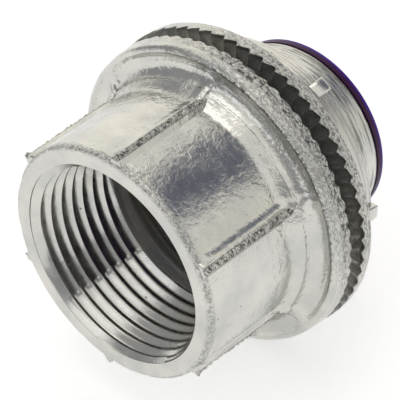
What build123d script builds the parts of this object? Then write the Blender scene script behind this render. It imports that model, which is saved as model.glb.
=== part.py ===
from build123d import *
from math import radians, sin, tan
import os

# Hazardous location conduit connector, 1 inch trade size, in millimetres.
# The bore runs along +Y, from the conduit socket's mouth at y = 0 to the throat at the back. +Z is up.
# Angles go round the bore from +X towards +Z, as seen from the mouth.

# Conduit socket, tapped for 1 inch conduit at 11.5 turns to the inch
conduit_thread_radius = 16.7
tapped_depth = 17.6
socket_wall = 2.7
socket_draft = 0.35
rim_round = 0.7

# Stop that the conduit's end meets, behind the tapped length
stop_height = 1.0
stop_length = 1.6

# Ribs cast along the outside of the socket
rib_count = 6
first_rib_angle = 25.7
rib_top_width = 1.4
rib_root_width = 2.7
rib_height = 0.75
rib_setback = 0.4
rib_round = 0.25

# Shoulder between socket and flange: a hexagon with blunt corners, one at each rib, behind a slope
shoulder_behind_crest = 0.85
shoulder_slope = 26.0
shoulder_over_flats = 0.85
shoulder_over_corners = 1.25

# Hub flange, which seals against the outside of the enclosure's wall
flange_behind_stop = 1.8
flange_radius = 25.3
flange_thickness = 3.3
flange_flare = 0.2
flange_edge_round = 0.8
web_angle = 7.0
pocket_depth = 0.35
pocket_outer_margin = 1.15
pocket_inner_margin = 0.15

# Teeth round both flanges, which bite into the wall from each side
tooth_count = 66
tooth_lean = 0.8
hub_tooth_depth = 0.45
hub_tooth_length = 2.4
nipple_tooth_depth = 0.85
nipple_tooth_length = 4.2

# Tapped bore in the back of the hub, for the nipple's neck
neck_bore_radius = 16.5
thread_clearance = 0.05

# Sealing ring in its groove in the hub's back face
groove_inset = 1.9
groove_width = 2.8
groove_depth = 1.5
ring_stand_out = 0.9
ring_side_clearance = 0.1
ring_round = 0.6

# Flanged nipple, which screws into the hub from inside the enclosure
wall_gap = 2.05
neck_room = 1.4
neck_chamfer = 0.5
nipple_flange_oversize = 0.3
nipple_flange_thickness = 2.55
nipple_flange_round = 0.5
collar_radius = 20.7
collar_root_flare = 1.2
collar_length = 6.6
collar_round = 0.5
barrel_wall = 1.75
barrel_length = 8.3
barrel_chamfer = 0.4

# Driving lugs on the collar's back corner
lug_count = 6
first_lug_angle = 0.0
lug_width = 2.3
lug_height = 0.9
lug_root = 1.4
lug_length = 3.2
lug_overhang = 0.3
lug_round = 0.25

# Insulating throat liner, snapped into the nipple
throat_radius = 12.7
liner_wall = 1.0
liner_clearance = 0.05
liner_setback = 5.0
lip_thickness = 1.5
lip_margin = 0.1
lip_round = 0.6
bead_height = 0.35
bead_width = 1.4
bead_from_lip = 4.0
bead_clearance = 0.1

# Places along the bore that follow from the sizes above
stop_back = tapped_depth + stop_length
flange_front = stop_back + flange_behind_stop
flange_back = flange_front + flange_thickness
nipple_front = flange_back + wall_gap
neck_front = stop_back + neck_room
shoulder_crest = flange_front - shoulder_behind_crest
nipple_flange_back = nipple_front + nipple_flange_thickness
collar_back = nipple_flange_back + collar_length
barrel_back = collar_back + barrel_length
lip_front = barrel_back + liner_clearance
lip_back = lip_front + lip_thickness
liner_front = neck_front + liner_setback

# Radii that follow from the sizes above
socket_mouth_radius = conduit_thread_radius + socket_wall
socket_root_radius = socket_mouth_radius + socket_draft
stop_radius = conduit_thread_radius - stop_height
rib_radius = socket_root_radius + rib_height
flange_back_radius = flange_radius + flange_flare
groove_inner_radius = neck_bore_radius + groove_inset
groove_outer_radius = groove_inner_radius + groove_width
neck_radius = neck_bore_radius - thread_clearance
nipple_flange_radius = flange_back_radius + nipple_flange_oversize
liner_radius = throat_radius + liner_wall
nipple_bore_radius = liner_radius + liner_clearance
barrel_radius = nipple_bore_radius + barrel_wall
lip_radius = barrel_radius - lip_margin

# How far a cutting shape runs past the face that it cuts
overcut = 0.5


def turned(*points):
    """Solid of revolution about the bore, from (radius, place along the bore) corners."""
    return revolve(make_face(Polyline(*points, close=True)), axis=Axis.Y)


def turned_rounded(points, rounds):
    """As turned, with the corners in rounds given as (radius, place along the bore, fillet)."""
    outline = make_face(Polyline(*points, close=True))
    for radius, along, size in rounds:
        corner = outline.vertices().sort_by_distance((radius, along, 0))[0]
        outline = fillet(corner, size)
    return revolve(outline, axis=Axis.Y)


def around(shape, angle):
    """The shape turned round the bore, from +X towards +Z."""
    return Rot(0, -angle, 0) * shape


def all_round(shape, count, first_angle):
    """Copies of a shape at even steps round the bore."""
    return [around(shape, first_angle + step * 360 / count) for step in range(count)]


def cross_plane(along):
    """Plane across the bore, with its normal along +Y."""
    return Plane(origin=(0, along, 0), x_dir=(1, 0, 0), z_dir=(0, 1, 0))


def tooth_cuts(rim_radius, face, depth, length, into):
    """One notch between two teeth for each tooth round a rim, fading out towards the bore.

    face is the toothed face's place along the bore, and into is the direction of the metal from it.
    """
    pitch = 360 / tooth_count
    width = 2 * rim_radius * sin(radians(pitch / 2))
    slope = depth / length
    rise = overcut * slope
    reach = length + 2 * overcut
    above = depth * 0.5
    scale = (depth + above) / depth
    notch = make_face(
        Polyline(
            (face + into * depth, width * (tooth_lean - 0.5)),
            (face - into * above, width * ((tooth_lean - 0.5) + (1 - tooth_lean) * scale)),
            (face - into * above, width * ((tooth_lean - 0.5) - tooth_lean * scale)),
            close=True,
        )
    )
    start = Plane(origin=(rim_radius, 0, 0), x_dir=(0, 1, 0), z_dir=(-1, 0, 0))
    direction = Vector(-1, -into * slope, 0)
    cut = extrude(start * notch, amount=reach, dir=direction)
    back = Vector(overcut, into * rise, 0)
    return all_round(Pos(back) * cut, tooth_count, 0)


def socket_form():
    """Outside of the socket, with draft from the mouth to the flange and a rounded front rim."""
    return turned_rounded(
        [
            (0, 0),
            (socket_mouth_radius, 0),
            (socket_root_radius, flange_front),
            (0, flange_front),
        ],
        [(socket_mouth_radius, 0, rim_round)],
    )


def rib():
    """One rib along the socket, at +X, with sloping sides and rounded top edges."""
    root = socket_mouth_radius - overcut
    section = make_face(
        Polyline(
            (root, -rib_root_width / 2),
            (rib_radius, -rib_top_width / 2),
            (rib_radius, rib_top_width / 2),
            (root, rib_root_width / 2),
            close=True,
        )
    )
    bar = extrude(cross_plane(rib_setback) * section, amount=shoulder_crest - rib_setback)
    top = bar.faces().sort_by(Axis.X)[-1]
    return fillet(top.edges(), rib_round)


def shoulder():
    """Blunt hexagon that carries the ribs' ends into the flange, with a slope in front of its crest."""
    flats = socket_root_radius + shoulder_over_flats
    corners = socket_root_radius + shoulder_over_corners
    length = (shoulder_over_corners + socket_draft) / tan(radians(shoulder_slope))
    hexagon = RegularPolygon(flats, rib_count, major_radius=False, rotation=-first_rib_angle)
    crest = Plane(origin=(0, shoulder_crest, 0), x_dir=(1, 0, 0), z_dir=(0, -1, 0))
    mirrored = RegularPolygon(flats, rib_count, major_radius=False, rotation=first_rib_angle)
    slope = extrude(crest * mirrored, amount=length, taper=shoulder_slope)
    prism = extrude(cross_plane(shoulder_crest) * hexagon, amount=flange_front - shoulder_crest)
    front = shoulder_crest - length
    limit = turned(
        (0, front),
        (socket_mouth_radius, front),
        (corners, shoulder_crest),
        (corners, flange_front),
        (0, flange_front),
    )
    return (slope + prism) & limit


def flange_form():
    """Hub flange: a disc that flares slightly from its rounded front edge to its toothed back."""
    return turned_rounded(
        [
            (0, flange_front),
            (flange_radius, flange_front),
            (flange_back_radius, flange_back),
            (0, flange_back),
        ],
        [(flange_radius, flange_front, flange_edge_round)],
    )


def pocket():
    """Shallow recess in the flange's front face between two webs, centred on +X."""
    inner = socket_root_radius + shoulder_over_corners + pocket_inner_margin
    outer = flange_radius - pocket_outer_margin
    sweep = 360 / rib_count - web_angle
    section = make_face(
        Polyline(
            (inner, flange_front + pocket_depth),
            (outer, flange_front + pocket_depth),
            (outer + pocket_depth, flange_front - overcut),
            (inner - pocket_depth, flange_front - overcut),
            close=True,
        )
    )
    return around(revolve(section, axis=Axis.Y, revolution_arc=sweep), sweep / 2)


def hub_bore():
    """Everything that is open inside the hub: mouth, tapped socket, stop and neck bore."""
    return turned(
        (0, -overcut),
        (conduit_thread_radius, -overcut),
        (conduit_thread_radius, tapped_depth),
        (stop_radius, tapped_depth),
        (stop_radius, stop_back),
        (neck_bore_radius, stop_back),
        (neck_bore_radius, flange_back + overcut),
        (0, flange_back + overcut),
    )


def hub_body():
    """Zinc hub: socket, ribs, shoulder and toothed flange in one casting."""
    body = socket_form() + flange_form() + shoulder()
    body += all_round(rib(), rib_count, first_rib_angle)
    between_ribs = first_rib_angle + 180 / rib_count
    body -= all_round(pocket(), rib_count, between_ribs)
    body -= hub_bore()
    groove = turned(
        (groove_inner_radius, flange_back - groove_depth),
        (groove_outer_radius, flange_back - groove_depth),
        (groove_outer_radius, flange_back + overcut),
        (groove_inner_radius, flange_back + overcut),
    )
    body -= groove
    body -= tooth_cuts(flange_back_radius, flange_back, hub_tooth_depth, hub_tooth_length, -1)
    return body


def sealing_ring():
    """Rubber ring that lies on the groove's floor and stands out to meet the wall."""
    inner = groove_inner_radius + ring_side_clearance
    outer = groove_outer_radius - ring_side_clearance
    floor = flange_back - groove_depth
    top = flange_back + ring_stand_out
    return turned_rounded(
        [(inner, floor), (outer, floor), (outer, top), (inner, top)],
        [(inner, top, ring_round), (outer, top, ring_round)],
    )


def lug():
    """One driving lug on the collar's back corner, at +X."""
    block = Box(
        lug_root + lug_height,
        lug_length,
        lug_width,
        align=(Align.MAX, Align.MAX, Align.CENTER),
    )
    block = Pos(collar_radius + lug_height, collar_back + lug_overhang, 0) * block
    top = block.faces().sort_by(Axis.X)[-1]
    return fillet(top.edges(), lug_round)


def flanged_nipple():
    """Zinc nipple: threaded neck, toothed flange, collar with lugs, and plain barrel."""
    body = turned_rounded(
        [
            (0, neck_front),
            (neck_radius - neck_chamfer, neck_front),
            (neck_radius, neck_front + neck_chamfer),
            (neck_radius, nipple_front),
            (nipple_flange_radius, nipple_front),
            (nipple_flange_radius, nipple_flange_back),
            (collar_radius + collar_root_flare, nipple_flange_back),
            (collar_radius, collar_back),
            (barrel_radius, collar_back),
            (barrel_radius, barrel_back - barrel_chamfer),
            (barrel_radius - barrel_chamfer, barrel_back),
            (0, barrel_back),
        ],
        [
            (nipple_flange_radius, nipple_flange_back, nipple_flange_round),
            (collar_radius, collar_back, collar_round),
        ],
    )
    body += all_round(lug(), lug_count, first_lug_angle)
    body -= turned(
        (0, neck_front - overcut),
        (nipple_bore_radius, neck_front - overcut),
        (nipple_bore_radius, barrel_back + overcut),
        (0, barrel_back + overcut),
    )
    body -= bead_ring(bead_clearance)
    body -= tooth_cuts(nipple_flange_radius, nipple_front, nipple_tooth_depth, nipple_tooth_length, 1)
    return body


def bead_ring(clearance):
    """Snap bead round the liner, or with a clearance the groove in the nipple that it snaps into."""
    middle = lip_front - bead_from_lip
    half = bead_width / 2 + clearance
    crest = liner_radius + bead_height + clearance
    return turned(
        (throat_radius + liner_wall / 2, middle - half),
        (crest, middle - half),
        (crest, middle + half),
        (throat_radius + liner_wall / 2, middle + half),
    )


def throat_insulator():
    """Plastic liner with a bell-mouthed lip that covers the end of the barrel."""
    body = turned_rounded(
        [
            (throat_radius, liner_front),
            (liner_radius, liner_front),
            (liner_radius, lip_front),
            (lip_radius, lip_front),
            (lip_radius, lip_back),
            (throat_radius, lip_back),
        ],
        [
            (lip_radius, lip_back, lip_round),
            (throat_radius, lip_back, lip_round),
        ],
    )
    return body + bead_ring(0)


os.makedirs("parts", exist_ok=True)
pieces = {
    "hub_body": hub_body(),
    "sealing_ring": sealing_ring(),
    "flanged_nipple": flanged_nipple(),
    "throat_insulator": throat_insulator(),
}
for name, piece in pieces.items():
    export_step(piece, f"parts/{name}.step")
    print(name, "volume", round(piece.volume, 1), "mm3")
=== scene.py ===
# %% [markdown]
# # A cast zinc conduit connector, seen from its threaded mouth
#
# The object brings a threaded pipe through the wall of an electrical enclosure. It has four real pieces:
# a hub, a rubber ring in the hub's back, a flanged nipple that screws into the hub, and a plastic liner in
# the nipple's throat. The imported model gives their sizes, places and motion, and this lesson gives them
# their looks: the cast skin, the threads, the teeth and the finish of each metal and plastic.

# %% Load the frame
from math import atan2, cos, hypot, pi, radians, sin

import bmesh
import bpy
from mathutils import Matrix, Vector, noise


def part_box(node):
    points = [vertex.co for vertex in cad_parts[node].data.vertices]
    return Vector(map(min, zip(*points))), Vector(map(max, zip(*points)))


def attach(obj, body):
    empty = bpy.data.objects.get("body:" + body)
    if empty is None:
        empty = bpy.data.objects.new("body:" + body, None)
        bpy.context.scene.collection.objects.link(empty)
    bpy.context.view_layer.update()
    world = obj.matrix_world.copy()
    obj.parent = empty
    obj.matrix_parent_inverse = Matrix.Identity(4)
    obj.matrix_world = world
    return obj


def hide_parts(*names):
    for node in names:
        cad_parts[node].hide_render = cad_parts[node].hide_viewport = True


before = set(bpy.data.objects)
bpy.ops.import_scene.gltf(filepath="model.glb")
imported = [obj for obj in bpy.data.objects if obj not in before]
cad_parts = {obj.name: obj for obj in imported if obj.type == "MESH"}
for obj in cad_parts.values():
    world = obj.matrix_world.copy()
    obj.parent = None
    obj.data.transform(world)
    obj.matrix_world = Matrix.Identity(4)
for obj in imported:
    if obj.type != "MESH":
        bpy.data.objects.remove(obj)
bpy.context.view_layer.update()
MM = 0.001

# %% [markdown]
# ## Sizes
#
# The bore runs along +Y, so a place on a turned piece is a radius and a distance along Y. The frame's boxes
# give the outer sizes, and the others are named here once, in metres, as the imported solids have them.

# %% Sizes read from the frame, and sizes inside the pieces
hub_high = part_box("hub_body")[1]
nipple_low, nipple_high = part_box("flanged_nipple")
ring_low, ring_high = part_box("sealing_ring")
liner_low, liner_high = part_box("throat_insulator")

flange_back = hub_high.y
flange_back_radius = 25.5 * MM
neck_front = nipple_low.y
barrel_back = nipple_high.y
nipple_flange_radius = nipple_high.z

thread_pitch = 25.4 * MM / 11.5
bore_radius = 16.7 * MM
tapped_depth = 17.6 * MM
stop_radius = 15.7 * MM
stop_back = 19.2 * MM
neck_bore_radius = 16.5 * MM
flange_front = flange_back - 3.3 * MM
flange_radius = flange_back_radius - 0.2 * MM
socket_mouth_radius = bore_radius + 2.7 * MM
socket_root_radius = socket_mouth_radius + 0.35 * MM
rib_radius = socket_root_radius + 0.75 * MM
nipple_front = flange_back + 2.05 * MM
nipple_flange_back = nipple_front + 2.55 * MM
collar_back = nipple_flange_back + 6.6 * MM
collar_radius = 20.7 * MM
throat_radius = 12.7 * MM
liner_radius = throat_radius + 1.0 * MM
nipple_bore_radius = liner_radius + 0.05 * MM
barrel_radius = nipple_bore_radius + 1.75 * MM
lip_radius = liner_high.z
lip_front = barrel_back + 0.05 * MM

rib_count = 6
first_rib = radians(25.7)
tooth_count = 66
steps_round = tooth_count * 8

print("hub's back face at", round(flange_back / MM, 2), "mm")
print("nipple's toothed face at", round(nipple_front / MM, 2), "mm")

# %% [markdown]
# ## Turning a profile
#
# Cast and turned pieces start as one corner that is pulled along the outline of the section, the way a
# line is drawn, and is then spun round the bore. A long straight stretch gets corners of its own, because
# the cast skin is modelled later by moving them.

# %% Helpers for turned pieces
touching = 0.001 * MM


def deselect_all():
    """Leaves no object selected, so that the next operator acts on the new one alone."""
    if bpy.context.object and bpy.context.object.mode != "OBJECT":
        bpy.ops.object.mode_set(mode="OBJECT")
    bpy.ops.object.select_all(action="DESELECT")


def activate(piece):
    """Selects one piece and makes it active."""
    deselect_all()
    piece.select_set(True)
    bpy.context.view_layer.objects.active = piece


def settle(piece):
    """Moves the piece's place and turn into its mesh, so that its object sits at the origin."""
    activate(piece)
    bpy.ops.object.transform_apply(location=True, rotation=True, scale=True)
    return piece


def finer(points, spacing):
    """The outline with extra corners, so that each stretch is about as long as spacing or shorter."""
    result = [points[0]]
    for (r0, y0), (r1, y1) in zip(points, points[1:]):
        parts = max(1, round(hypot(r1 - r0, y1 - y0) / spacing))
        for part in range(1, parts + 1):
            share = part / parts
            result.append((r0 + (r1 - r0) * share, y0 + (y1 - y0) * share))
    return result


def arc(centre, radius, start, end, parts):
    """Corners on a round stretch of an outline, with its angles in degrees from the radius towards +Y."""
    angles = [radians(start + (end - start) * part / parts) for part in range(parts + 1)]
    return [(centre[0] + radius * cos(a), centre[1] + radius * sin(a)) for a in angles]


def run_to(outline, corner, spacing):
    """Carries an outline on to a corner, in stretches about as long as spacing."""
    outline += finer([outline[-1], corner], spacing)[1:]


def round_off(outline, centre, radius, start, end, parts):
    """Carries an outline on round a corner."""
    outline += arc(centre, radius, start, end, parts)[1:]


def drawn(name, outline):
    """A new piece that is one line, pulled along an outline of (radius, place along the bore) corners."""
    deselect_all()
    first_radius, first_place = outline[0]
    bpy.ops.mesh.primitive_plane_add(size=MM, location=(first_radius, first_place, 0))
    piece = bpy.context.object
    piece.name = name
    settle(piece)
    bpy.ops.object.mode_set(mode="EDIT")
    bpy.ops.mesh.select_mode(type="VERT")
    bpy.ops.mesh.select_all(action="SELECT")
    bpy.ops.mesh.merge(type="CENTER")
    for (r0, y0), (r1, y1) in zip(outline, outline[1:]):
        bpy.ops.mesh.extrude_region_move(TRANSFORM_OT_translate={"value": (r1 - r0, y1 - y0, 0)})
    return piece


def turn(name, outline, steps):
    """Spins an outline round the bore."""
    piece = drawn(name, outline)
    bpy.ops.mesh.select_all(action="SELECT")
    bpy.ops.mesh.spin(steps=steps, angle=2 * pi, center=(0, 0, 0), axis=(0, 1, 0))
    bpy.ops.mesh.select_all(action="SELECT")
    bpy.ops.mesh.remove_doubles(threshold=touching / 2)
    bpy.ops.object.mode_set(mode="OBJECT")
    return piece


def face_outwards(piece):
    """Recalculates the normals of a closed piece."""
    activate(piece)
    bpy.ops.object.mode_set(mode="EDIT")
    bpy.ops.mesh.select_all(action="SELECT")
    bpy.ops.mesh.normals_make_consistent(inside=False)
    bpy.ops.object.mode_set(mode="OBJECT")


def smooth(piece, degrees_between):
    """Smooth shading, with an edge kept sharp where its faces meet at more than the angle."""
    activate(piece)
    bpy.ops.object.shade_smooth_by_angle(angle=radians(degrees_between))


def join(pieces):
    """Joins pieces into the first one's mesh."""
    deselect_all()
    for piece in pieces:
        piece.select_set(True)
    bpy.context.view_layer.objects.active = pieces[0]
    bpy.ops.object.join()
    return pieces[0]


def report(piece):
    """Prints how large a piece's mesh is, and how many of its edges are open."""
    mesh = bmesh.new()
    mesh.from_mesh(piece.data)
    triangles = sum(len(face.verts) - 2 for face in mesh.faces)
    open_edges = sum(not edge.is_manifold for edge in mesh.edges)
    volume = mesh.calc_volume(signed=True) / MM ** 3
    mesh.free()
    print(piece.name, "triangles", triangles, "open edges", open_edges, "volume", round(volume, 1), "mm3")


# %% [markdown]
# ## How the surface runs round the bore
#
# Ribs, shoulder corners and webs repeat six times, and the teeth sixty-six times. Each is a small function
# of the angle round the bore, so that what lines up on the real casting lines up here too.

# %% Helpers for what repeats round the bore
def smoothstep(low, high, value):
    """0 below low, 1 above high, and an even rise between."""
    share = min(1, max(0, (value - low) / (high - low)))
    return share * share * (3 - 2 * share)


def along(stops, value):
    """Straight runs between (value, result) stops."""
    for (v0, r0), (v1, r1) in zip(stops, stops[1:]):
        if value <= v1:
            return r0 + (r1 - r0) * (value - v0) / (v1 - v0)
    return stops[-1][1]


def angle_of(point):
    """Angle round the bore from +X towards +Z."""
    return atan2(point.z, point.x)


def from_rib(angle):
    """Signed angle to the nearest rib."""
    step = 2 * pi / rib_count
    return (angle - first_rib + step / 2) % step - step / 2


def notch(angle, stops):
    """Depth between two teeth, from stops that run clockwise from one tip, at 0, to the next, at 1."""
    just_past_tip = 0.001
    return along(stops, (-angle * tooth_count / (2 * pi) + just_past_tip) % 1)


def at(radius, place, angle):
    """The point at a radius, a place along the bore and an angle round it."""
    return Vector((radius * cos(angle), place, radius * sin(angle)))


# %% [markdown]
# ## The thread in the socket
#
# One turn of the thread's section is drawn once and sent round the bore by a Screw modifier, which climbs
# one pitch for each turn and merges each turn with the next. The ends are cut square with bisect. A tap
# cuts into a wall that is already chamfered, so a corner lies at the thread or at the chamfer, whichever
# is wider. The mould's core was in halves: below the parting seam its turns sit a little further back.

# %% Model the thread's turns
thread_front = 0.12 * MM
thread_root_gap = 0.06 * MM
thread_root = bore_radius - thread_root_gap
thread_height = 0.95 * MM
upper_half_deeper = 0.24
thread_taper = 1 / 64
chamfer_depth = 1.15 * MM
chamfer_slope = 1.05
seam_angle = radians(232.4)
seam_half = radians(0.9)
seam_shift = 0.14 * MM


def thread_strip(name, root, crest, front, back, steps):
    """A helical strip from front to back, with its section between a root and a crest radius."""
    section = [(root, 0), (root, 0.08), (crest, 0.50), (crest, 0.62), (root, 0.84), (root, 1)]
    outline = finer([(radius, share * thread_pitch) for radius, share in section], 0.42 * MM)
    strip = drawn(name, outline)
    bpy.ops.mesh.select_all(action="SELECT")
    bpy.ops.transform.translate(value=(0, front - 1.5 * thread_pitch, 0))
    bpy.ops.object.mode_set(mode="OBJECT")
    screw = strip.modifiers.new("turns", "SCREW")
    screw.axis = "Y"
    screw.angle = 2 * pi
    screw.screw_offset = thread_pitch
    screw.iterations = int((back - front) / thread_pitch) + 3
    screw.steps = steps
    screw.render_steps = steps
    screw.use_merge_vertices = True
    screw.merge_threshold = touching
    bpy.ops.object.modifier_apply(modifier=screw.name)
    bpy.ops.object.mode_set(mode="EDIT")
    bpy.ops.mesh.select_all(action="SELECT")
    bpy.ops.mesh.remove_doubles(threshold=touching)
    bpy.ops.mesh.select_all(action="SELECT")
    bpy.ops.mesh.bisect(plane_co=(0, front, 0), plane_no=(0, 1, 0), clear_inner=True, threshold=touching)
    bpy.ops.mesh.select_all(action="SELECT")
    bpy.ops.mesh.bisect(plane_co=(0, back, 0), plane_no=(0, 1, 0), clear_outer=True, threshold=touching)
    bpy.ops.object.mode_set(mode="OBJECT")
    return strip


def below_seam(angle):
    """1 on the side of the parting seam that faces down, 0 on the other, with a narrow step between."""
    turned = (angle - seam_angle) % (2 * pi)
    lower = smoothstep(-seam_half, seam_half, turned) if turned < pi else 0
    return lower * (1 - smoothstep(pi - seam_half, pi + seam_half, turned))


def tapped_radius(radius, place, angle):
    """Radius of the thread's surface, which runs out at its back and meets the mouth's chamfer in front."""
    height = (thread_root - radius) * (1 + upper_half_deeper * (1 - below_seam(angle)))
    height *= 1 - smoothstep(tapped_depth - 1.3 * MM, tapped_depth - 0.2 * MM, place)
    return thread_root - height - (place - thread_front) * thread_taper


def seam_step(place, angle):
    """How far back the turns sit below the seam, fading out over the first and the last turn."""
    shift = seam_shift * below_seam(angle) * smoothstep(thread_front, thread_front + thread_pitch, place)
    return shift * (1 - smoothstep(tapped_depth - thread_pitch, tapped_depth - 0.1 * MM, place))


thread_crest = thread_root - thread_height
thread = thread_strip("hub_shell", thread_root, thread_crest, thread_front, tapped_depth, steps_round // 2)
for vertex in thread.data.vertices:
    point = vertex.co
    place = point.y
    angle = angle_of(point)
    unevenness = noise.noise(point / (2.2 * MM)) * 0.02 * MM
    radius = tapped_radius(hypot(point.x, point.z), place, angle) + unevenness
    chamfer = bore_radius - place * chamfer_slope if place < chamfer_depth * 1.6 else 0
    vertex.co = at(max(radius, chamfer), place + seam_step(place, angle), angle)
report(thread)

# %% [markdown]
# ## The hub's casting
#
# The rest of the hub is one outline, from the thread's front end round the outside to the thread's back
# end: chamfer, rim, drafted socket, shoulder, flange, back face with the sealing ring's groove, neck bore
# and stop. It is spun with eight steps for each tooth, so that the teeth can be raised from its own
# corners. Its two open ends stop just short of the thread's, and are bridged to them.

# %% Turn the hub and bridge it to the thread
groove_inner = 18.4 * MM
groove_outer = 21.2 * MM
groove_floor = flange_back - 1.5 * MM
rim_round = 0.8 * MM
edge_round = 0.9 * MM
tooth_reach = 2.4 * MM
crest_place = flange_front - 1.5 * MM
crest_top = crest_place - 0.36 * MM
slope_front = crest_place - 2.3 * MM
thread_end_radius = thread_root - (tapped_depth - thread_front) * thread_taper
bridge_length = 0.06 * MM


def socket_wall_at(place):
    """Radius of the drafted socket's outside at a place along the bore."""
    return socket_mouth_radius + (socket_root_radius - socket_mouth_radius) * place / flange_front


hub_outline = [(bore_radius - thread_front * chamfer_slope, thread_front - bridge_length), (bore_radius, 0)]
run_to(hub_outline, (socket_mouth_radius - rim_round, 0), 0.4 * MM)
round_off(hub_outline, (socket_mouth_radius - rim_round, rim_round), rim_round, -90, 0, 4)
socket_wall = [(socket_wall_at(rim_round), rim_round), (socket_wall_at(slope_front), slope_front)]
hub_outline += finer(socket_wall, 0.55 * MM)[1:]
run_to(hub_outline, (socket_root_radius, crest_top), 0.3 * MM)
run_to(hub_outline, (socket_root_radius, crest_place), 0.11 * MM)
run_to(hub_outline, (socket_root_radius, flange_front), 0.12 * MM)
run_to(hub_outline, (flange_radius - edge_round, flange_front), 0.28 * MM)
round_off(hub_outline, (flange_radius - edge_round, flange_front + edge_round), edge_round, -90, 0, 4)
run_to(hub_outline, (flange_back_radius, flange_back), 0.22 * MM)
run_to(hub_outline, (flange_back_radius - tooth_reach, flange_back), 0.6 * MM)
hub_outline += [(groove_outer, flange_back), (groove_outer, groove_floor)]
hub_outline += [(groove_inner, groove_floor), (groove_inner, flange_back)]
hub_outline += [(neck_bore_radius, flange_back), (neck_bore_radius, stop_back), (stop_radius, stop_back)]
hub_outline += [(stop_radius, tapped_depth + 0.25 * MM), (thread_end_radius, tapped_depth + 0.1 * MM)]

hub = turn("hub_outside", hub_outline, steps_round)
report(hub)
hub = join([hub, thread])
hub.name = "hub_casting"


def bridge_rings(piece, low, high):
    """Bridges the two open rings of a piece that lie between two places along the bore."""
    activate(piece)
    bpy.ops.object.mode_set(mode="EDIT")
    bpy.ops.mesh.select_mode(type="EDGE")
    bpy.ops.mesh.select_all(action="DESELECT")
    mesh = bmesh.from_edit_mesh(piece.data)
    for edge in mesh.edges:
        middle = (edge.verts[0].co.y + edge.verts[1].co.y) / 2
        edge.select = edge.is_boundary and low < middle < high
    bmesh.update_edit_mesh(piece.data)
    bpy.ops.mesh.bridge_edge_loops()
    bpy.ops.mesh.select_mode(type="VERT")
    bpy.ops.object.mode_set(mode="OBJECT")


bridge_rings(hub, thread_front - 0.1 * MM, thread_front + 0.05 * MM)
bridge_rings(hub, tapped_depth - 0.1 * MM, tapped_depth + 0.2 * MM)
face_outwards(hub)
report(hub)

# %% [markdown]
# ## Shoulder, pockets and teeth
#
# The hub's corners are moved now, each by what the casting has at its place. A blunt hexagon rises between
# the socket and the flange. Its slope ends in a ridge, and behind the ridge the metal rounds off into shallow
# pockets between six webs on the flange's face. The ridge lies a little further forward here than in the
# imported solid. The teeth are leaning notches in the flange's back edge. Each form is a small function,
# because one corner can belong to two of them.

# %% Shoulder and pockets
shoulder_height = 1.02 * MM
shoulder_sixfold = 0.10 * MM
shoulder_rise = [(0, 0), (0.2, 0.06), (0.4, 0.22), (0.6, 0.46), (0.78, 0.70), (0.9, 0.84), (1, 1)]
ridge_back = 2.0 * MM
ridge_tilt = 0.16 * MM
face_outer = flange_radius - edge_round
pocket_depth = 0.38 * MM
pocket_outer = 24.35 * MM
web_half = radians(0.6)
web_edge = radians(4.5)


def shoulder_radius(angle):
    """Radius of the shoulder's ridge, which is a little higher at each rib."""
    return socket_root_radius + shoulder_height + shoulder_sixfold * cos(rib_count * from_rib(angle))


def on_flange_face(radius, place):
    """Whether a corner of the turned hub lies on the flange's front face."""
    return abs(place - flange_front) < 0.02 * MM and socket_root_radius - 0.1 * MM < radius < flange_radius


def on_shoulder(radius, place):
    """Whether a corner of the turned hub lies on the socket's wall, where the shoulder rises."""
    along_slope = slope_front - 0.1 * MM < place < flange_front - 0.01 * MM
    return along_slope and radius > socket_mouth_radius - 0.05 * MM


def raise_shoulder(radius, place, angle):
    """The radius and place that a corner of the shoulder or of the flange's face is moved to."""
    crest = shoulder_radius(angle)
    between_webs = smoothstep(web_half, web_half + web_edge, abs(from_rib(angle)))
    if on_shoulder(radius, place):
        rise = max(0, (place - slope_front) / (crest_place - slope_front))
        behind = max(0, (place - crest_place) / (flange_front - crest_place))
        quarter_round = 1 - (1 - behind ** 2) ** 0.5
        radius += (crest - socket_root_radius) * along(shoulder_rise, rise)
        radius += ridge_tilt * behind + (ridge_back - ridge_tilt) * quarter_round
        place += pocket_depth * between_webs * behind ** 2
    elif on_flange_face(radius, place):
        foot = crest + ridge_back
        share = (radius - socket_root_radius) / (face_outer - socket_root_radius)
        if share < 1:
            radius = foot + (face_outer - foot) * share
        in_pocket = 1 - smoothstep(pocket_outer - 0.9 * MM, pocket_outer + 0.1 * MM, radius)
        place += pocket_depth * between_webs * in_pocket
    return radius, place


print("ridge radius", round(shoulder_radius(first_rib) / MM, 2), "mm at a rib")

# %% Teeth on the hub
hub_tooth_depth = 0.45 * MM
hub_notch = [(0, 0), (0.2, 0.1), (0.45, 1), (0.62, 0.75), (0.85, 0), (1, 0)]


def hub_tooth_cut(radius, place, angle):
    """How far in front of the flange's back face the notch between two teeth lies, from 0 away from it."""
    if radius <= flange_back_radius - tooth_reach or place <= flange_front:
        return 0
    near_rim = smoothstep(flange_back_radius - tooth_reach, flange_back_radius, radius)
    near_back = smoothstep(flange_back - 0.9 * MM, flange_back, place)
    return hub_tooth_depth * notch(angle, hub_notch) * near_rim * near_back


print("teeth", tooth_count, "notch depth", round(hub_tooth_depth / MM, 2), "mm")

# %% [markdown]
# ## The cast skin
#
# Cast zinc is slightly wavy all over. It is ragged where the mould's parts met: round the mouth, in a line
# round the pockets, and on the flange's band with its parting line, all on the side towards +X and +Z. The
# socket's wall runs up to one side of each rib in a soft fillet. A few single dents and knobs are put where
# the real casting has them. How rough each corner came out is kept as an attribute, which the material reads.

# %% Helpers for the cast skin
noise_stretch = 1.6
mould_line_radius = pocket_outer + 0.15 * MM
parting_place = flange_back - 1.5 * MM
fillet_height = 0.42 * MM
rim_set_back = 0.05 * MM
streak_height = 0.17 * MM
parting_depth = 0.18 * MM
rear_set_back = 0.10 * MM
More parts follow.
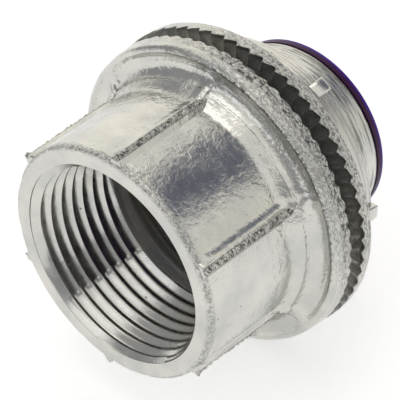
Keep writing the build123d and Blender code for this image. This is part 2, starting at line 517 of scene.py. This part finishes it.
# Each mark is an angle in degrees, a place along the bore, a radius, a size and a depth in millimetres.
marks = [
    (134.9, 23.4, 24.9, 0.5, 0.30), (119.0, 20.9, 22.9, 0.8, 0.22), (116.0, 20.9, 22.6, 0.6, 0.20),
    (89.6, 21.2, 21.5, 0.45, 0.35), (75.2, 19.1, 20.1, 0.4, 0.15), (157.0, 23.0, 25.4, 0.9, 0.30),
    (152.0, 21.2, 24.6, 0.7, 0.20), (56.1, 21.2, 22.9, 0.9, 0.12), (133.0, 0.7, 19.4, 0.9, 0.25),
    (124.0, 0.6, 19.4, 0.7, 0.20), (61.0, 17.0, 19.9, 0.5, 0.10), (40.0, 6.5, 19.6, 0.5, 0.08),
    (94.4, 0.5, 19.5, 0.7, -0.32), (86.5, 0.6, 19.9, 0.9, -0.42), (27.0, 0.5, 19.8, 0.8, -0.30),
]


def ragged(point, size, height):
    """Unevenness with lumps of a size, up to a height either way."""
    return noise.noise(point / size) * height * noise_stretch


def streaks(point, across, along_bore):
    """Noise from -1 to 1 whose patches have one size across the bore and another along it."""
    return noise.noise(Vector((point.x / across, point.y / along_bore, point.z / across)))


def away_from_axis(point):
    """Direction from the bore's axis to a point."""
    return Vector((point.x, 0, point.z)).normalized()


def dent(point, mark):
    """How deep one small mark of the mould or of handling is at a point, from 0 outside it."""
    angle, place, radius, size, depth = mark
    distance = (point - at(radius * MM, place * MM, radians(angle))).length
    return depth * MM * (1 - smoothstep(0, size * MM, distance))


def coarseness(angle):
    """How rough the flanges' edges are, from 1 on the side towards +X and +Z to nearly smooth opposite."""
    return 0.15 + 0.85 * smoothstep(0.35, 0.95, cos(angle - radians(45)))


def near_parting(point, place):
    """1 on the parting line round the flange, which wanders a little, and 0 beside it."""
    distance = abs(place - parting_place - ragged(point, 3 * MM, 0.15 * MM))
    return 1 - smoothstep(0.10 * MM, 0.32 * MM, distance)


def rib_fillet(radius, place, angle):
    """How far the socket's wall stands out beside a rib, on the side that the angle grows to."""
    beside = from_rib(angle) * radius
    if beside <= 0 or radius >= flange_radius - 3 * MM:
        return 0
    nearness = 1 - smoothstep(0.9 * MM, 2.5 * MM, beside)
    return fillet_height * nearness ** 1.6 * smoothstep(0.4 * MM, 3 * MM, place)


# %% Move the hub's corners
rough_skin = hub.data.attributes.new("rough_skin", "FLOAT", "POINT")
dull_skin = hub.data.attributes.new("dull_skin", "FLOAT", "POINT")
for vertex in hub.data.vertices:
    point = vertex.co.copy()
    place = point.y
    radius = hypot(point.x, point.z)
    angle = angle_of(point)
    coarse = coarseness(angle)
    outside = radius > socket_mouth_radius - 1.4 * MM and place < flange_back + 0.1 * MM
    on_mouth = not outside and place < 0.01 * MM
    on_face = on_flange_face(radius, place)
    radius, place = raise_shoulder(radius, place, angle)
    mould_line = coarse * smoothstep(0.4 * MM, 0.1 * MM, abs(radius - mould_line_radius)) if on_face else 0
    place -= mould_line * (0.05 * MM + ragged(point, 0.5 * MM, 0.20 * MM))
    place -= hub_tooth_cut(radius, place, angle)
    point = at(radius, place, angle)
    rough = 0
    if outside:
        rim = smoothstep(1.0 * MM, 0.3 * MM, hypot(radius - socket_mouth_radius, place - 0.3 * MM))
        band = coarse * smoothstep(flange_radius - 1.2 * MM, flange_radius, radius)
        rear_half = smoothstep(flange_back - 1.7 * MM, flange_back - 1.4 * MM, place)
        parting = near_parting(point, place)
        push = noise.noise(point / (6 * MM)) * 0.10 * MM + noise.noise(point / (1.6 * MM)) * 0.02 * MM
        push += rim * (ragged(point, 0.5 * MM, 0.05 * MM) + ragged(point, 2.3 * MM, 0.07 * MM) - rim_set_back)
        streak = streaks(point, 2.4 * MM, 0.45 * MM) * streak_height
        push += band * (streak + ragged(point, 0.7 * MM, 0.06 * MM))
        push -= band * parting * (parting_depth + ragged(point, 0.9 * MM, 0.08 * MM))
        push -= band * rear_half * rear_set_back
        push += rib_fillet(radius, place, angle)
        push -= sum(dent(point, mark) for mark in marks)
        point += away_from_axis(point) * push
        rough = max(mould_line, band * max(0.45 + 0.5 * rear_half, parting), 0.5 * rim)
    elif on_mouth:
        bore_edge = smoothstep(0.3 * MM, 0, abs(radius - bore_radius))
        point += away_from_axis(point) * bore_edge * ragged(point, 0.6 * MM, 0.07 * MM)
        point.y += 0.02 * MM + abs(ragged(point, 0.9 * MM, 0.03 * MM))
    vertex.co = point
    behind_thread = place > tapped_depth and radius < bore_radius + 0.1 * MM
    rough_skin.data[vertex.index].value = rough
    dull_skin.data[vertex.index].value = 1 if behind_thread else 0

smooth(hub, 48)
report(hub)

# %% [markdown]
# ## Ribs
#
# Six low bars run along the socket. Their tops were left rough by the mould, so a bar is a cube with its
# top drawn in and its edges bevelled, remeshed finely enough for its top to be broken up. Each of the six
# is turned to its place and has a rough top of its own.

# %% Model the ribs
rib_top_width = 1.1 * MM
rib_root_width = 3.3 * MM
rib_front = 0.35 * MM
rib_root = 1.5 * MM
rib_draft_length = 14 * MM
rib_front_drop = 0.30 * MM


def make_rib(number):
    """One rough rib, with sloping sides and its front end and top edges rounded."""
    angle = first_rib + number * 2 * pi / rib_count
    length = crest_place - rib_front + 0.2 * MM
    deselect_all()
    bpy.ops.mesh.primitive_cube_add(size=1, location=(rib_radius - rib_root / 2, rib_front + length / 2, 0))
    rib = bpy.context.object
    rib.name = f"rib_{number}"
    rib.scale = (rib_root, length, rib_root_width)
    settle(rib)
    bpy.ops.object.mode_set(mode="EDIT")
    bpy.ops.mesh.select_all(action="DESELECT")
    mesh = bmesh.from_edit_mesh(rib.data)
    for vertex in mesh.verts:
        vertex.select = vertex.co.x > rib_radius - 0.1 * MM
    mesh.select_flush(True)
    bmesh.update_edit_mesh(rib.data)
    bpy.ops.transform.resize(value=(1, 1, rib_top_width / rib_root_width), center_override=(0, 0, 0))
    bpy.ops.object.mode_set(mode="OBJECT")
    bevel = rib.modifiers.new("edges", "BEVEL")
    bevel.width = 0.28 * MM
    bevel.segments = 3
    bpy.ops.object.modifier_apply(modifier=bevel.name)
    remesh = rib.modifiers.new("grain", "REMESH")
    remesh.mode = "VOXEL"
    remesh.voxel_size = 0.24 * MM
    bpy.ops.object.modifier_apply(modifier=remesh.name)
    seed = Vector((number * 3.0, 0, 0))
    rough_top = rib.data.attributes.new("rough_skin", "FLOAT", "POINT")
    for vertex in rib.data.vertices:
        point = vertex.co
        top = smoothstep(rib_radius - 0.45 * MM, rib_radius - 0.1 * MM, point.x)
        on_top = top * (1 - smoothstep(0.42 * MM, 0.72 * MM, abs(point.z)))
        across = noise.noise(Vector((point.x / (2 * MM), point.y / (0.42 * MM), point.z / (1.1 * MM))) + seed)
        grain = noise.noise(point / (0.4 * MM) + seed)
        nub = 1 - smoothstep(0.4 * MM, 1.3 * MM, point.y)
        point.x -= rib_front_drop * (1 - smoothstep(0, rib_draft_length, point.y))
        point.x += on_top * (across * 0.26 + grain * 0.18) * MM
        point.x += on_top * nub * (0.22 + 0.35 * grain) * MM
        point.z += noise.noise(point / (1.5 * MM) - seed) * 0.06 * MM
        rough_top.data[vertex.index].value = on_top
    rib.data.transform(Matrix.Rotation(-angle, 4, "Y"))
    return rib


ribs = [make_rib(number) for number in range(rib_count)]
hub = join([hub] + ribs)
smooth(hub, 48)
report(hub)

# %% [markdown]
# ## The flanged nipple
#
# The nipple is turned in the same way: threaded neck, toothed flange, collar, barrel and bore. Its teeth
# are deeper than the hub's, and are cut into the face that meets the wall. The barrel keeps the shallow
# rings that the lathe's tool left. The neck's thread shows only when the nipple is screwed out. It is made
# like the socket's, with its crests outwards, and is bridged to the two ends of the outline.

# %% Turn the nipple and raise its teeth
tooth_depth = 0.85 * MM
tooth_length = 4.2 * MM
nipple_notch = [(0, 0), (0.12, 0.22), (0.38, 0.55), (0.62, 0.85), (0.78, 1.0), (0.9, 0.6), (1, 0)]
collar_flare = 1.2 * MM
barrel_chamfer = 0.4 * MM
collar_round = 0.5 * MM
nipple_round = 0.5 * MM
neck_root = 15.5 * MM
neck_crest = 16.4 * MM
neck_thread_front = neck_front + 0.6 * MM
neck_thread_back = nipple_front - 0.5 * MM

nipple_edge = nipple_flange_radius - nipple_round
nipple_outline = [(neck_root, neck_thread_back), (neck_root, nipple_front)]
run_to(nipple_outline, (nipple_flange_radius, nipple_front), 0.7 * MM)
run_to(nipple_outline, (nipple_flange_radius, nipple_flange_back - nipple_round), 0.3 * MM)
round_off(nipple_outline, (nipple_edge, nipple_flange_back - nipple_round), nipple_round, 0, 90, 4)
run_to(nipple_outline, (collar_radius + collar_flare, nipple_flange_back), 0.6 * MM)
run_to(nipple_outline, (collar_radius, collar_back - collar_round), 0.5 * MM)
round_off(nipple_outline, (collar_radius - collar_round, collar_back - collar_round), collar_round, 0, 90, 4)
run_to(nipple_outline, (barrel_radius, collar_back), 0.8 * MM)
run_to(nipple_outline, (barrel_radius, barrel_back - barrel_chamfer), 0.28 * MM)
nipple_outline += [(barrel_radius - barrel_chamfer, barrel_back), (nipple_bore_radius, barrel_back)]
nipple_outline += [(nipple_bore_radius, neck_front), (neck_root, neck_front), (neck_root, neck_thread_front)]

nipple = turn("nipple_turned", nipple_outline, steps_round)
turns_front = neck_thread_front + 0.1 * MM
turns_back = neck_thread_back - 0.1 * MM
neck_thread = thread_strip("neck_turns", neck_root, neck_crest, turns_front, turns_back, steps_round // 3)
for vertex in neck_thread.data.vertices:
    place = vertex.co.y
    height = hypot(vertex.co.x, vertex.co.z) - neck_root
    height *= smoothstep(turns_front, turns_front + 1.1 * MM, place)
    height *= 1 - smoothstep(turns_back - 0.9 * MM, turns_back, place)
    vertex.co = at(neck_root + height, place, angle_of(vertex.co))
nipple = join([nipple, neck_thread])
nipple.name = "nipple_casting"
bridge_rings(nipple, neck_thread_front - 0.05 * MM, turns_front + 0.05 * MM)
bridge_rings(nipple, turns_back - 0.05 * MM, neck_thread_back + 0.05 * MM)

# %% Shape the nipple's skin
turned_skin = nipple.data.attributes.new("turned_skin", "FLOAT", "POINT")
rough_skin = nipple.data.attributes.new("rough_skin", "FLOAT", "POINT")
dull_skin = nipple.data.attributes.new("dull_skin", "FLOAT", "POINT")
for vertex in nipple.data.vertices:
    point = vertex.co.copy()
    place = point.y
    radius = hypot(point.x, point.z)
    angle = angle_of(point)
    if radius > nipple_flange_radius - tooth_length and place < nipple_flange_back - 0.3 * MM:
        fade = smoothstep(nipple_flange_radius - tooth_length, nipple_flange_radius - 0.6 * MM, radius)
        near_front = 1 - smoothstep(nipple_front, nipple_front + 1.6 * MM, place)
        place += tooth_depth * notch(angle, nipple_notch) * fade * near_front
        place += ragged(point, 0.6 * MM, 0.06 * MM) * near_front * fade
        dull_skin.data[vertex.index].value = 0.6 * near_front
    point = at(radius, place, angle)
    away = away_from_axis(point)
    if radius > barrel_radius + 0.5 * MM:
        on_rim = smoothstep(nipple_flange_radius - 0.3 * MM, nipple_flange_radius, radius)
        push = (noise.noise(point / (5 * MM)) - 0.7) * 0.05 * MM
        push += on_rim * (ragged(point, 0.6 * MM, 0.05 * MM) - 0.06 * MM)
        point += away * push
        rough_skin.data[vertex.index].value = 0.7 * on_rim * coarseness(angle)
        on_collar = smoothstep(nipple_flange_back, nipple_flange_back + 0.5 * MM, place)
        on_collar -= smoothstep(collar_back - 0.3 * MM, collar_back - 0.05 * MM, place)
        turned_skin.data[vertex.index].value = 0.5 * on_collar
    elif radius > barrel_radius - 0.05 * MM and place > collar_back + 0.2 * MM:
        fine_rings = noise.noise(Vector((0, place / (0.55 * MM), 0))) * 0.06 * MM
        broad_rings = noise.noise(Vector((3, place / (1.8 * MM), 0))) * 0.16 * MM
        point += away * (fine_rings + broad_rings - 0.08 * MM)
        turned_skin.data[vertex.index].value = 1.0
    vertex.co = point
face_outwards(nipple)
smooth(nipple, 32)
report(nipple)

# %% [markdown]
# ## Driving lugs
#
# Six small blocks stand on the collar's back corner, where a wrench or a bar drives the nipple round.

# %% Model the lugs
lug_count = 6
lug_size = (2.3 * MM, 3.2 * MM, 2.3 * MM)
lug_top = collar_radius + 0.9 * MM


def make_lug(number):
    """One driving lug, with worn edges."""
    deselect_all()
    middle = (lug_top - lug_size[0] / 2, collar_back + 0.3 * MM - lug_size[1] / 2, 0)
    bpy.ops.mesh.primitive_cube_add(size=1, location=middle)
    lug = bpy.context.object
    lug.name = f"lug_{number}"
    lug.scale = lug_size
    settle(lug)
    bevel = lug.modifiers.new("edges", "BEVEL")
    bevel.width = 0.20 * MM
    bevel.segments = 2
    bpy.ops.object.modifier_apply(modifier=bevel.name)
    bpy.ops.object.mode_set(mode="EDIT")
    bpy.ops.mesh.select_all(action="SELECT")
    bpy.ops.mesh.subdivide(number_cuts=2)
    bpy.ops.object.mode_set(mode="OBJECT")
    for vertex in lug.data.vertices:
        worn_at = vertex.co / (0.9 * MM) + Vector((number * 5.0, 0, 0))
        wear = Vector([noise.noise(worn_at + Vector((0, 0, layer))) for layer in (0, 7, 13)])
        slope = 1 - smoothstep(collar_back - 2.6 * MM, collar_back - 1.0 * MM, vertex.co.y)
        high = smoothstep(lug_top - 1.2 * MM, lug_top, vertex.co.x)
        vertex.co += wear * 0.08 * MM
        vertex.co.x -= (0.06 + 0.62 * slope * high) * MM
    lug.data.transform(Matrix.Rotation(-number * 2 * pi / lug_count, 4, "Y"))
    return lug


nipple = join([nipple] + [make_lug(number) for number in range(lug_count)])
smooth(nipple, 35)
report(nipple)

# %% [markdown]
# ## Throat liner and sealing ring
#
# The liner is a thin plastic tube with a rounded lip that covers the barrel's end, and the ring is moulded
# rubber that stands out of its groove. Both are turned.

# %% Turn the liner and the sealing ring
lip_round = 0.5 * MM
liner_outline = finer([(liner_radius, liner_low.y), (liner_radius, lip_front)], 2 * MM)
liner_outline += [(lip_radius, lip_front)]
liner_outline += arc((lip_radius - lip_round, liner_high.y - lip_round), lip_round, 0, 90, 6)
liner_outline += arc((throat_radius + lip_round, liner_high.y - lip_round), lip_round, 90, 180, 6)
liner_outline += [(throat_radius, liner_low.y), (liner_radius, liner_low.y)]
liner = turn("throat_liner", liner_outline, 256)
face_outwards(liner)
smooth(liner, 40)
report(liner)

ring_round = 0.6 * MM
ring_inner = 18.5 * MM
ring_outer = ring_high.z
ring_outline = [(ring_inner, ring_low.y), (ring_outer, ring_low.y)]
ring_outline += arc((ring_outer - ring_round, ring_high.y - ring_round), ring_round, 0, 90, 5)
ring_outline += arc((ring_inner + ring_round, ring_high.y - ring_round), ring_round, 90, 180, 5)
ring_outline += [(ring_inner, ring_low.y)]
seal = turn("wall_seal", ring_outline, 192)
face_outwards(seal)
smooth(seal, 40)
report(seal)

# %% [markdown]
# ## Zinc, rubber and plastic
#
# Cast zinc is a pale, slightly warm metal with a skin that is neither polished nor matt. Its material has
# broad blotches of colour and of gloss, wrinkles where the metal chilled against the mould, a fine grain
# that glitters at the edge of a reflection, and a few dark pits. Three attributes change it from place to
# place: rough_skin gives it a crust whose colour is darker in its hollows, turned_skin gives it the lathe's
# rings, and dull_skin makes it duller, between the teeth and behind the thread. The liner is a violet plastic
# with painted shade: nearly black at the lip's front edge, and darker all through the bore.

# %% Helpers for materials
def node_material(name):
    """A new node material with its Principled shader, Object coordinates and node tree."""
    material = bpy.data.materials.new(name)
    material.use_nodes = True
    tree = material.node_tree
    shader = tree.nodes["Principled BSDF"]
    coordinates = tree.nodes.new("ShaderNodeTexCoord")
    return material, tree, shader, coordinates.outputs["Object"]


def stretched(tree, coordinates, stretch):
    """Object coordinates scaled along each axis."""
    mapping = tree.nodes.new("ShaderNodeMapping")
    mapping.inputs["Scale"].default_value = stretch
    tree.links.new(coordinates, mapping.inputs["Vector"])
    return mapping.outputs["Vector"]


def noise_at(tree, coordinates, size, detail=4.0, roughness=0.6, distortion=0.0):
    """Noise with patches of about the given size, in metres."""
    texture = tree.nodes.new("ShaderNodeTexNoise")
    texture.inputs["Scale"].default_value = 1 / size
    texture.inputs["Detail"].default_value = detail
    texture.inputs["Roughness"].default_value = roughness
    texture.inputs["Distortion"].default_value = distortion
    tree.links.new(coordinates, texture.inputs["Vector"])
    return texture.outputs["Fac"]


def ramp(tree, value, stops):
    """A colour ramp with (place, grey or colour) stops."""
    node = tree.nodes.new("ShaderNodeValToRGB")
    elements = node.color_ramp.elements
    while len(elements) < len(stops):
        elements.new(0.5)
    for element, (place, colour) in zip(elements, stops):
        element.position = place
        element.color = (*colour, 1) if isinstance(colour, tuple) else (colour, colour, colour, 1)
    tree.links.new(value, node.inputs["Fac"])
    return node.outputs["Color"]


def mixed(tree, first, second, blend, factor=1.0):
    """One colour mixed with another, such as by MULTIPLY."""
    node = tree.nodes.new("ShaderNodeMix")
    node.data_type = "RGBA"
    node.blend_type = blend
    node.inputs["Factor"].default_value = factor
    tree.links.new(first, node.inputs["A"])
    tree.links.new(second, node.inputs["B"])
    return node.outputs["Result"]


def bump(tree, height, strength, distance, normal=None):
    """A bump from a height, on top of another bump if one is given."""
    node = tree.nodes.new("ShaderNodeBump")
    node.inputs["Strength"].default_value = strength
    node.inputs["Distance"].default_value = distance
    tree.links.new(height, node.inputs["Height"])
    if normal is not None:
        tree.links.new(normal, node.inputs["Normal"])
    return node.outputs["Normal"]


def read_skin(tree, name):
    """The value of one of the skin attributes that were set while modelling."""
    node = tree.nodes.new("ShaderNodeAttribute")
    node.attribute_name = name
    return node.outputs["Fac"]


def combined(tree, operation, first, second):
    """A value put together with another one, or with a plain number, such as by MAXIMUM."""
    node = tree.nodes.new("ShaderNodeMath")
    node.operation = operation
    tree.links.new(first, node.inputs[0])
    if isinstance(second, float):
        node.inputs[1].default_value = second
    else:
        tree.links.new(second, node.inputs[1])
    return node.outputs[0]


def product(tree, first, second):
    """One value times another."""
    return combined(tree, "MULTIPLY", first, second)


def rising(tree, value, low, high):
    """0 up to a low value, rising to 1 at a high one."""
    node = tree.nodes.new("ShaderNodeMapRange")
    node.inputs["From Min"].default_value = low
    node.inputs["From Max"].default_value = high
    tree.links.new(value, node.inputs["Value"])
    return node.outputs["Result"]


def beyond_radius(tree, coordinates, near, far):
    """0 up to a near distance from the bore's axis, rising to 1 at a far one."""
    length = tree.nodes.new("ShaderNodeVectorMath")
    length.operation = "LENGTH"
    tree.links.new(stretched(tree, coordinates, (1, 0, 1)), length.inputs[0])
    return rising(tree, length.outputs["Value"], near, far)


def pits_at(tree, coordinates, spacing, size):
    """Dark dots of a size, about one for each spacing, and most of them left out."""
    cells = tree.nodes.new("ShaderNodeTexVoronoi")
    cells.inputs["Scale"].default_value = 1 / spacing
    tree.links.new(coordinates, cells.inputs["Vector"])
    dots = ramp(tree, cells.outputs["Distance"], [(0.6 * size / spacing, 0.0), (size / spacing, 1.0)])
    kept = ramp(tree, cells.outputs["Color"], [(0.62, 1.0), (0.66, 0.0)])
    return mixed(tree, dots, kept, "LIGHTEN")


# %% Cast zinc
def cast_zinc(name, light, dark, wrinkle_strength, lathe_marks):
    """Cast zinc between two greys, with the lathe's rings where lathe_marks isn't 0."""
    material, tree, shader, coordinates = node_material(name)
    blotch = noise_at(tree, coordinates, 8 * MM, 3, 0.55)
    wrinkle = noise_at(tree, coordinates, 1.2 * MM, 2, 0.55, 0.5)
    stroke = noise_at(tree, stretched(tree, coordinates, (1.0, 0.6, 1.0)), 0.62 * MM, 1, 0.5, 0.4)
    grain = noise_at(tree, coordinates, 0.22 * MM, 2, 0.6)
    crust = noise_at(tree, stretched(tree, coordinates, (0.6, 1.1, 0.6)), 0.42 * MM, 3, 0.65, 0.8)
    patch = noise_at(tree, coordinates, 3.5 * MM, 3, 0.6)
    pits = pits_at(tree, coordinates, 1.7 * MM, 0.16 * MM)
    rough = read_skin(tree, "rough_skin")
    dull = read_skin(tree, "dull_skin")
    outside = beyond_radius(tree, coordinates, bore_radius + 0.8 * MM, bore_radius + 2.0 * MM)

    colour = ramp(tree, blotch, [(0.38, dark), (0.60, light)])
    colour = mixed(tree, colour, ramp(tree, grain, [(0.30, 0.72), (0.46, 1.0)]), "MULTIPLY", 0.4)
    colour = mixed(tree, colour, ramp(tree, pits, [(0.0, (0.10, 0.095, 0.085)), (1.0, 1.0)]), "MULTIPLY", 0.8)
    # Where rough_skin is set, the colour is darker in the crust pattern's hollows.
    hollows = ramp(tree, crust, [(0.40, 0.0), (0.50, 1.0)])
    darker_crust_hollows = mixed(tree, hollows, ramp(tree, rough, [(0.1, 1.0), (0.9, 0.22)]), "LIGHTEN")
    colour = mixed(tree, colour, darker_crust_hollows, "MULTIPLY")
    if lathe_marks:
        turned = read_skin(tree, "turned_skin")
        rings = noise_at(tree, stretched(tree, coordinates, (0.04, 1, 0.04)), 0.45 * MM, 3, 0.7)
        cut = ramp(tree, rings, [(0.40, 0.0), (0.50, 1.0)])
        cut = mixed(tree, cut, ramp(tree, turned, [(0.1, 1.0), (0.9, 0.42)]), "LIGHTEN")
        colour = mixed(tree, colour, cut, "MULTIPLY")
    tree.links.new(colour, shader.inputs["Base Color"])

    gloss = ramp(tree, patch, [(0.35, 0.15), (0.68, 0.28)])
    gloss = mixed(tree, gloss, ramp(tree, dull, [(0.0, 0.0), (1.0, 0.45)]), "LIGHTEN")
    tree.links.new(gloss, shader.inputs["Roughness"])
    tree.links.new(ramp(tree, dull, [(0.0, 1.0), (1.0, 0.70)]), shader.inputs["Metallic"])

    normal = bump(tree, blotch, 0.25, 0.5 * MM)
    normal = bump(tree, product(tree, wrinkle, outside), wrinkle_strength, 0.18 * MM, normal)
    folds = ramp(tree, stroke, [(0.42, 0.0), (0.50, 1.0), (0.58, 0.0)])
    folds = product(tree, product(tree, folds, outside), ramp(tree, patch, [(0.42, 0.0), (0.60, 1.0)]))
    normal = bump(tree, folds, 0.5 * wrinkle_strength, 0.035 * MM, normal)
    normal = bump(tree, grain, 0.25, 0.05 * MM, normal)
    normal = bump(tree, pits, 0.5, 0.08 * MM, normal)
    normal = bump(tree, product(tree, crust, rough), 1.0, 0.55 * MM, normal)
    if lathe_marks:
        ridges = product(tree, rings, turned)
        normal = bump(tree, ridges, lathe_marks, 0.14 * MM, normal)
    tree.links.new(normal, shader.inputs["Normal"])
    return material


zinc_light = (0.65, 0.64, 0.60)
zinc_dark = (0.55, 0.55, 0.53)
hub_zinc = cast_zinc("hub_cast_zinc", zinc_light, zinc_dark, 0.65, 0)
nipple_zinc = cast_zinc("nipple_cast_zinc", zinc_light, zinc_dark, 0.30, 1.0)
print("zinc materials", hub_zinc.name, nipple_zinc.name)


# %% Plastic and rubber
def moulded_plastic(name, colour, roughness):
    """Moulded plastic or rubber with a faint unevenness."""
    material, tree, shader, coordinates = node_material(name)
    mottle = noise_at(tree, coordinates, 2 * MM, 3, 0.5)
    darker = tuple(channel * 0.75 for channel in colour)
    tone = ramp(tree, mottle, [(0.35, darker), (0.65, colour)])
    tree.links.new(tone, shader.inputs["Base Color"])
    shader.inputs["Roughness"].default_value = roughness
    tree.links.new(bump(tree, mottle, 0.1, 0.05 * MM), shader.inputs["Normal"])
    return material, tree, shader, coordinates, tone


liner_violet = (0.080, 0.012, 0.38)
liner_plastic, tree, shader, coordinates, tone = moulded_plastic("violet_liner_plastic", liner_violet, 0.40)
shader.inputs["Specular IOR Level"].default_value = 0.22
# Painted shade: the lip's front part is darkened nearly to black, and the whole bore is darkened, though the
# plastic is violet there too.
place = tree.nodes.new("ShaderNodeSeparateXYZ")
tree.links.new(coordinates, place.inputs["Vector"])
across_lip = rising(tree, place.outputs["Y"], lip_front, liner_high.y)
painted_shade_front = (0.70, 1.0, 0.17)
painted_shade_inside = (0.72, 1.0, 0.25)
shade = ramp(tree, across_lip, [(0.42, painted_shade_front), (0.60, 1.0)])
on_lip = beyond_radius(tree, coordinates, liner_radius + 0.2 * MM, liner_radius + 0.5 * MM)
shade = mixed(tree, shade, ramp(tree, on_lip, [(0.0, painted_shade_inside), (1.0, 0.0)]), "LIGHTEN")
tree.links.new(mixed(tree, tone, shade, "MULTIPLY"), shader.inputs["Base Color"])
seal_rubber = moulded_plastic("black_seal_rubber", (0.02, 0.02, 0.02), 0.7)[0]

# %% [markdown]
# ## Each piece takes its material, its body and its node
#
# The turned pieces replace the plain solids and ride on the same bodies, so they move as the solids do.

# %% Dress the pieces and hand them to their bodies
for piece, material, body, node, slot in (
    (hub, hub_zinc, "hub", "hub_body", "hub_zinc"),
    (nipple, nipple_zinc, "nipple", "flanged_nipple", "nipple_zinc"),
    (liner, liner_plastic, "liner", "throat_insulator", "liner_plastic"),
    (seal, seal_rubber, "hub", "sealing_ring", "seal_rubber"),
):
    piece.data.materials.clear()
    piece.data.materials.append(material)
    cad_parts[node].data.materials.clear()
    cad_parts[node].data.materials.append(material)
    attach(piece, body)
    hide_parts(node)

# %% [markdown]
# ## Floor, light and camera
#
# Bright metal shows its surroundings, so the studio matters more than the lamps. Soft light panels hang in
# a grey room: a ceiling, two back walls and one high on the right. The darker gap over the back wall gives
# the dark middle of the socket's upper facet. Each panel is a direction and an angle, so it stays where it
# is when the camera moves. Only the camera and reflections see the room at full strength, and its diffuse
# light is weaker. Two soft lamps make the shadow. The floor has a little light of its own that only the
# camera and reflections see, which lifts it to white.

# %% Floor
floor_drop = nipple_low.z - 0.3 * MM
deselect_all()
bpy.ops.mesh.primitive_plane_add(size=6, location=(0, 0, floor_drop))
floor = bpy.context.object
floor.name = "floor"
settle(floor)


def seen_directly(tree):
    """1 for rays that the camera, a reflection or a clear material sees, and 0 for diffuse light."""
    path = tree.nodes.new("ShaderNodeLightPath")
    total = path.outputs["Is Camera Ray"]
    for name in ("Is Glossy Ray", "Is Transmission Ray"):
        total = combined(tree, "MAXIMUM", total, path.outputs[name])
    return total


floor_material = bpy.data.materials.new("white_floor")
floor_material.use_nodes = True
floor_tree = floor_material.node_tree
floor_shader = floor_tree.nodes["Principled BSDF"]
floor_shader.inputs["Base Color"].default_value = (0.93, 0.93, 0.93, 1)
floor_shader.inputs["Roughness"].default_value = 0.9
floor_shader.inputs["Emission Color"].default_value = (1, 1, 1, 1)
floor_glow = 0.54
lift = combined(floor_tree, "MULTIPLY", seen_directly(floor_tree), floor_glow)
floor_tree.links.new(lift, floor_shader.inputs["Emission Strength"])
floor.data.materials.append(floor_material)

# %% Surroundings
world = bpy.data.worlds.new("studio")
bpy.context.scene.world = world
world.use_nodes = True
sky = world.node_tree
background = sky.nodes["Background"]
direction = sky.nodes.new("ShaderNodeTexCoord")

room_grey = (0.36, 0.365, 0.375)
diffuse_strength = 0.6
# Each panel is a name, a direction, its outer and inner edge in degrees from its middle, and a colour.
panels = [
    ("ceiling", (0.00, 0.00, 1.00), 54, 30, (0.96, 0.94, 0.89)),
    ("back wall, left", (-0.60, 0.79, 0.10), 52, 28, (1.20, 1.17, 1.08)),
    ("back wall, right", (0.70, 0.70, 0.15), 44, 16, (0.88, 0.86, 0.79)),
    ("right wall, high", (0.74, 0.06, 0.67), 40, 14, (0.98, 0.97, 0.94)),
    ("gap over the back wall", (0.30, 0.60, 0.74), 29, 8, (0.17, 0.18, 0.23)),
]


def panel_share(centre, outer_degrees, inner_degrees):
    """1 inside a panel of the studio, falling to 0 at its outer edge, by the angle from its centre."""
    toward = sky.nodes.new("ShaderNodeVectorMath")
    toward.operation = "DOT_PRODUCT"
    toward.inputs[1].default_value = Vector(centre).normalized()
    sky.links.new(direction.outputs["Generated"], toward.inputs[0])
    share = sky.nodes.new("ShaderNodeMapRange")
    share.interpolation_type = "SMOOTHSTEP"
    share.inputs["From Min"].default_value = cos(radians(outer_degrees))
    share.inputs["From Max"].default_value = cos(radians(inner_degrees))
    sky.links.new(toward.outputs["Value"], share.inputs["Value"])
    return share.outputs["Result"]


room = sky.nodes.new("ShaderNodeRGB")
room.outputs[0].default_value = (*room_grey, 1)
colour = room.outputs[0]
for name, centre, outer_degrees, inner_degrees, brightness in panels:
    hung = sky.nodes.new("ShaderNodeMix")
    hung.data_type = "RGBA"
    hung.label = name
    hung.inputs["B"].default_value = (*brightness, 1)
    sky.links.new(panel_share(centre, outer_degrees, inner_degrees), hung.inputs["Factor"])
    sky.links.new(colour, hung.inputs["A"])
    colour = hung.outputs["Result"]
sky.links.new(colour, background.inputs["Color"])
strength = sky.nodes.new("ShaderNodeMix")
strength.inputs["A"].default_value = diffuse_strength
strength.inputs["B"].default_value = 1.0
sky.links.new(seen_directly(sky), strength.inputs["Factor"])
sky.links.new(strength.outputs["Result"], background.inputs["Strength"])

# %% Lamps
def soft_lamp(name, place, width, height, power):
    """A soft rectangular lamp that points at the object's middle."""
    target = Vector((0, 22 * MM, 0))
    deselect_all()
    bpy.ops.object.light_add(type="AREA", location=place)
    lamp = bpy.context.object
    lamp.name = name
    lamp.data.shape = "RECTANGLE"
    lamp.data.size = width
    lamp.data.size_y = height
    lamp.data.energy = power
    lamp.rotation_euler = (target - Vector(place)).to_track_quat("-Z", "Y").to_euler()
    return lamp


soft_lamp("ceiling lamp", (-0.10, 0.02, 0.60), 0.40, 0.40, 0.40)
soft_lamp("front lamp", (-0.035, -0.44, 0.32), 0.42, 0.22, 0.25)

# %% Camera
camera_azimuth = radians(41.45)
camera_elevation = radians(38.66)
camera_reach = 16.738 * bore_radius
mouth_right = -0.04685
mouth_down = 0.03412
photo_width = 400
focal_length = 1926.4
sensor_width = 36

right = Vector((cos(camera_azimuth), sin(camera_azimuth), 0))
forward = Vector((
    -sin(camera_azimuth) * cos(camera_elevation),
    cos(camera_azimuth) * cos(camera_elevation),
    -sin(camera_elevation),
))
up = right.cross(forward)
deselect_all()
bpy.ops.object.camera_add()
camera = bpy.context.object
camera.location = -camera_reach * (right * mouth_right - up * mouth_down + forward)
camera.rotation_euler = (pi / 2 - camera_elevation, 0, camera_azimuth)
camera.data.sensor_width = sensor_width
camera.data.lens = sensor_width * focal_length / photo_width
camera.data.clip_start = 0.01
bpy.context.scene.camera = camera
bpy.context.scene.view_settings.view_transform = "Standard"
